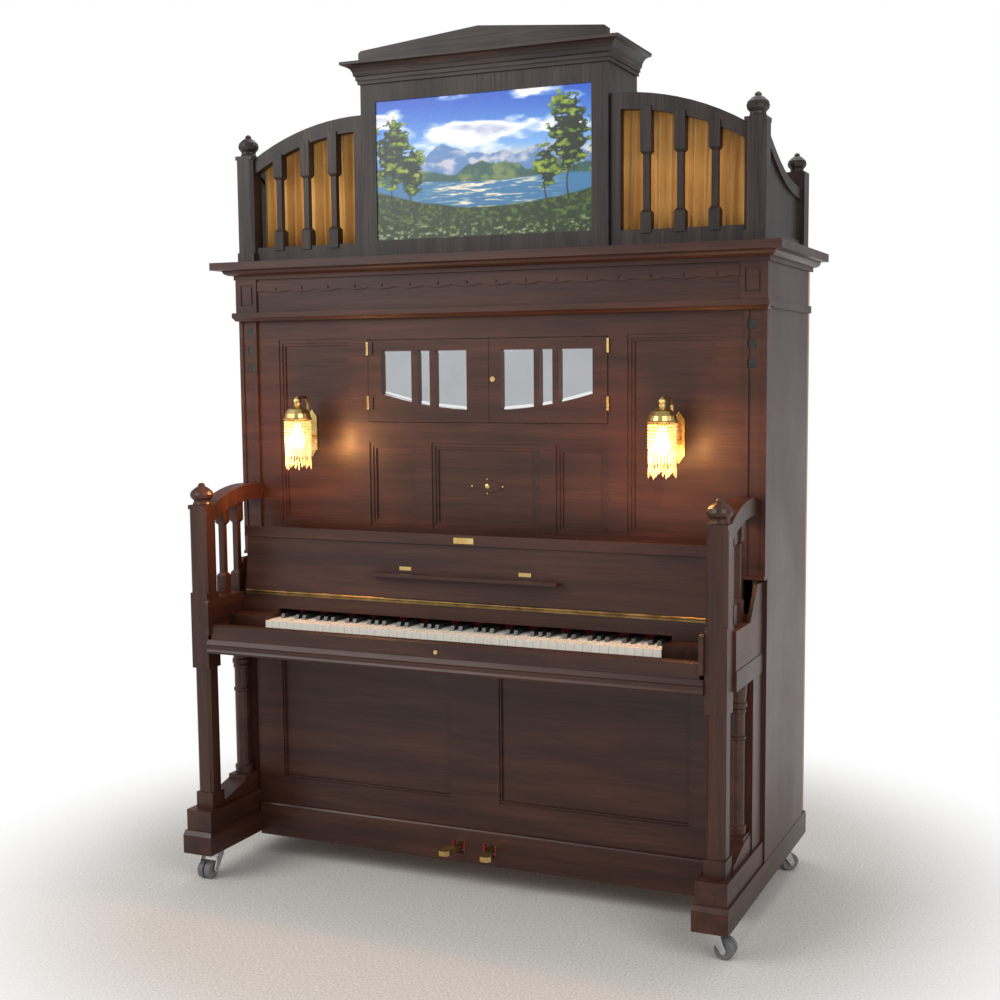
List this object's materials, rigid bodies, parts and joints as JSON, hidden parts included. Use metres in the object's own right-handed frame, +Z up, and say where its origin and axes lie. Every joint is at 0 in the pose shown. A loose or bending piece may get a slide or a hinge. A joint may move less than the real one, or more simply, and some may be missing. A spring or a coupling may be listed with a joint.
{
  "type": "orchestrion",
  "caption": "Upright keyboard orchestrion on casters with a picture box, cloth-backed galleries, glazed doors, brass wall lamps, hinged lid, keys and pedals.",
  "frame": {"origin": "centre of the bounding box at floor level", "axes": "+Z up, the longest side; +X to the player's right; the keyboard faces -Y"},
  "size_m": [1.696, 0.878, 2.3707],
  "materials": {
    "dark_wood": "stained and varnished",
    "gallery_wood": "open-grained oak, stained",
    "pale_wood": "unstained",
    "brass": "polished, lightly aged",
    "steel": "plated",
    "iron": "bronze paint",
    "rubber": "satin",
    "amber_cloth": "woven",
    "mirror": "bevelled",
    "painted_glass": "painted from behind",
    "ivory": "satin",
    "ebony": "satin",
    "black_plastic": "moulded",
    "glass_rods": "clear rods and beads",
    "bulb_glass": "frosted"
  },
  "bodies": {
    "case": {"case_side_left": "dark_wood", "case_side_right": "dark_wood", "back_frame": "pale_wood", "case_floor": "pale_wood", "main_cornice": "dark_wood", "frieze": "dark_wood", "upper_front": "dark_wood", "lid_hinge": "brass", "nameboard": "dark_wood", "key_slip": "dark_wood", "keybed": "dark_wood", "cheek_left": "dark_wood", "cheek_right": "dark_wood", "lower_front": "dark_wood", "toe_board": "dark_wood", "console_left": "dark_wood", "console_right": "dark_wood", "foot_left": "dark_wood", "foot_right": "dark_wood", "gallery_left": "gallery_wood", "gallery_right": "gallery_wood", "curtain_left": "amber_cloth", "curtain_right": "amber_cloth", "picture_box": "gallery_wood", "picture": "painted_glass", "crown": "gallery_wood", "sconce_left": "brass", "sconce_right": "brass", "fringe_left": "glass_rods", "fringe_right": "glass_rods", "bulb_left": "bulb_glass", "bulb_right": "bulb_glass", "iron_frame": "iron", "piano_action": "pale_wood", "roll_mechanism": "steel", "wind_pump": "pale_wood", "white_keys": "ivory", "black_keys": "ebony", "mains_inlet": "black_plastic"},
    "door_left": {"door_left": "dark_wood", "door_glass_left": "mirror"},
    "door_right": {"door_right": "dark_wood", "door_glass_right": "mirror"},
    "lid": {"lid": "dark_wood"},
    "music_ledge": {"music_ledge": "dark_wood"},
    "pedal_left": {"pedal_left": "brass"},
    "pedal_right": {"pedal_right": "brass"},
    "key_c": {"key_c": "ivory"},
    "key_c_sharp": {"key_c_sharp": "ebony"},
    "key_d": {"key_d": "ivory"},
    "key_d_sharp": {"key_d_sharp": "ebony"},
    "key_e": {"key_e": "ivory"},
    "fork_front_left": {"fork_front_left": "steel"},
    "wheel_front_left": {"wheel_front_left": "rubber"},
    "fork_front_right": {"fork_front_right": "steel"},
    "wheel_front_right": {"wheel_front_right": "rubber"},
    "fork_rear_left": {"fork_rear_left": "steel"},
    "wheel_rear_left": {"wheel_rear_left": "rubber"},
    "fork_rear_right": {"fork_rear_right": "steel"},
    "wheel_rear_right": {"wheel_rear_right": "rubber"}
  },
  "joints": [
    {"name": "lid_turn", "type": "hinge", "parent": "case", "child": "lid", "pos_m": [0, -0.239, 0.818], "axis": [1, 0, 0], "range_deg": [0, 117]},
    {"name": "ledge_turn", "type": "hinge", "parent": "lid", "child": "music_ledge", "pos_m": [0, -0.2382, 0.88569], "axis": [-1, 0, 0], "range_deg": [0, 85]},
    {"name": "door_left_turn", "type": "hinge", "parent": "case", "child": "door_left", "pos_m": [-0.366, -0.097, 1.42], "axis": [0, 0, -1], "range_deg": [0, 95]},
    {"name": "door_right_turn", "type": "hinge", "parent": "case", "child": "door_right", "pos_m": [0.366, -0.097, 1.42], "axis": [0, 0, 1], "range_deg": [0, 95]},
    {"name": "key_c_dip", "type": "hinge", "parent": "case", "child": "key_c", "pos_m": [-0.03525, -0.061, 0.73285], "axis": [1, 0, 0], "range_deg": [0, 2], "stiffness_Nm_per_rad": 8, "springref_deg": -3.44},
    {"name": "key_c_sharp_dip", "type": "hinge", "parent": "case", "child": "key_c_sharp", "pos_m": [-0.0235, -0.061, 0.73285], "axis": [1, 0, 0], "range_deg": [0, 2], "stiffness_Nm_per_rad": 8, "springref_deg": -3.44},
    {"name": "key_d_dip", "type": "hinge", "parent": "case", "child": "key_d", "pos_m": [-0.01175, -0.061, 0.73285], "axis": [1, 0, 0], "range_deg": [0, 2], "stiffness_Nm_per_rad": 8, "springref_deg": -3.44},
    {"name": "key_d_sharp_dip", "type": "hinge", "parent": "case", "child": "key_d_sharp", "pos_m": [0, -0.061, 0.73285], "axis": [1, 0, 0], "range_deg": [0, 2], "stiffness_Nm_per_rad": 8, "springref_deg": -3.44},
    {"name": "key_e_dip", "type": "hinge", "parent": "case", "child": "key_e", "pos_m": [0.01175, -0.061, 0.73285], "axis": [1, 0, 0], "range_deg": [0, 2], "stiffness_Nm_per_rad": 8, "springref_deg": -3.44},
    {"name": "pedal_left_dip", "type": "hinge", "parent": "case", "child": "pedal_left", "pos_m": [-0.048, -0.105, 0.118], "axis": [1, 0, 0], "range_deg": [0, 4], "stiffness_Nm_per_rad": 30, "springref_deg": -5.73},
    {"name": "pedal_right_dip", "type": "hinge", "parent": "case", "child": "pedal_right", "pos_m": [0.048, -0.105, 0.118], "axis": [1, 0, 0], "range_deg": [0, 4], "stiffness_Nm_per_rad": 30, "springref_deg": -5.73},
    {"name": "swivel_front_left", "type": "hinge", "parent": "case", "child": "fork_front_left", "pos_m": [-0.752, -0.369, 0.07], "axis": [0, 0, 1], "continuous": true},
    {"name": "roll_front_left", "type": "hinge", "parent": "fork_front_left", "child": "wheel_front_left", "pos_m": [-0.752, -0.391, 0.0255], "axis": [1, 0, 0], "continuous": true},
    {"name": "swivel_front_right", "type": "hinge", "parent": "case", "child": "fork_front_right", "pos_m": [0.752, -0.369, 0.07], "axis": [0, 0, 1], "continuous": true},
    {"name": "roll_front_right", "type": "hinge", "parent": "fork_front_right", "child": "wheel_front_right", "pos_m": [0.774, -0.369, 0.0255], "axis": [0, 1, 0], "continuous": true},
    {"name": "swivel_rear_left", "type": "hinge", "parent": "case", "child": "fork_rear_left", "pos_m": [-0.752, 0.299, 0.07], "axis": [0, 0, 1], "continuous": true},
    {"name": "roll_rear_left", "type": "hinge", "parent": "fork_rear_left", "child": "wheel_rear_left", "pos_m": [-0.75952, 0.31967, 0.0255], "axis": [-0.9397, -0.342, 0], "continuous": true},
    {"name": "swivel_rear_right", "type": "hinge", "parent": "case", "child": "fork_rear_right", "pos_m": [0.752, 0.299, 0.07], "axis": [0, 0, 1], "continuous": true},
    {"name": "roll_rear_right", "type": "hinge", "parent": "fork_rear_right", "child": "wheel_rear_right", "pos_m": [0.76885, 0.31314, 0.0255], "axis": [-0.6428, 0.766, 0], "continuous": true}
  ]
}
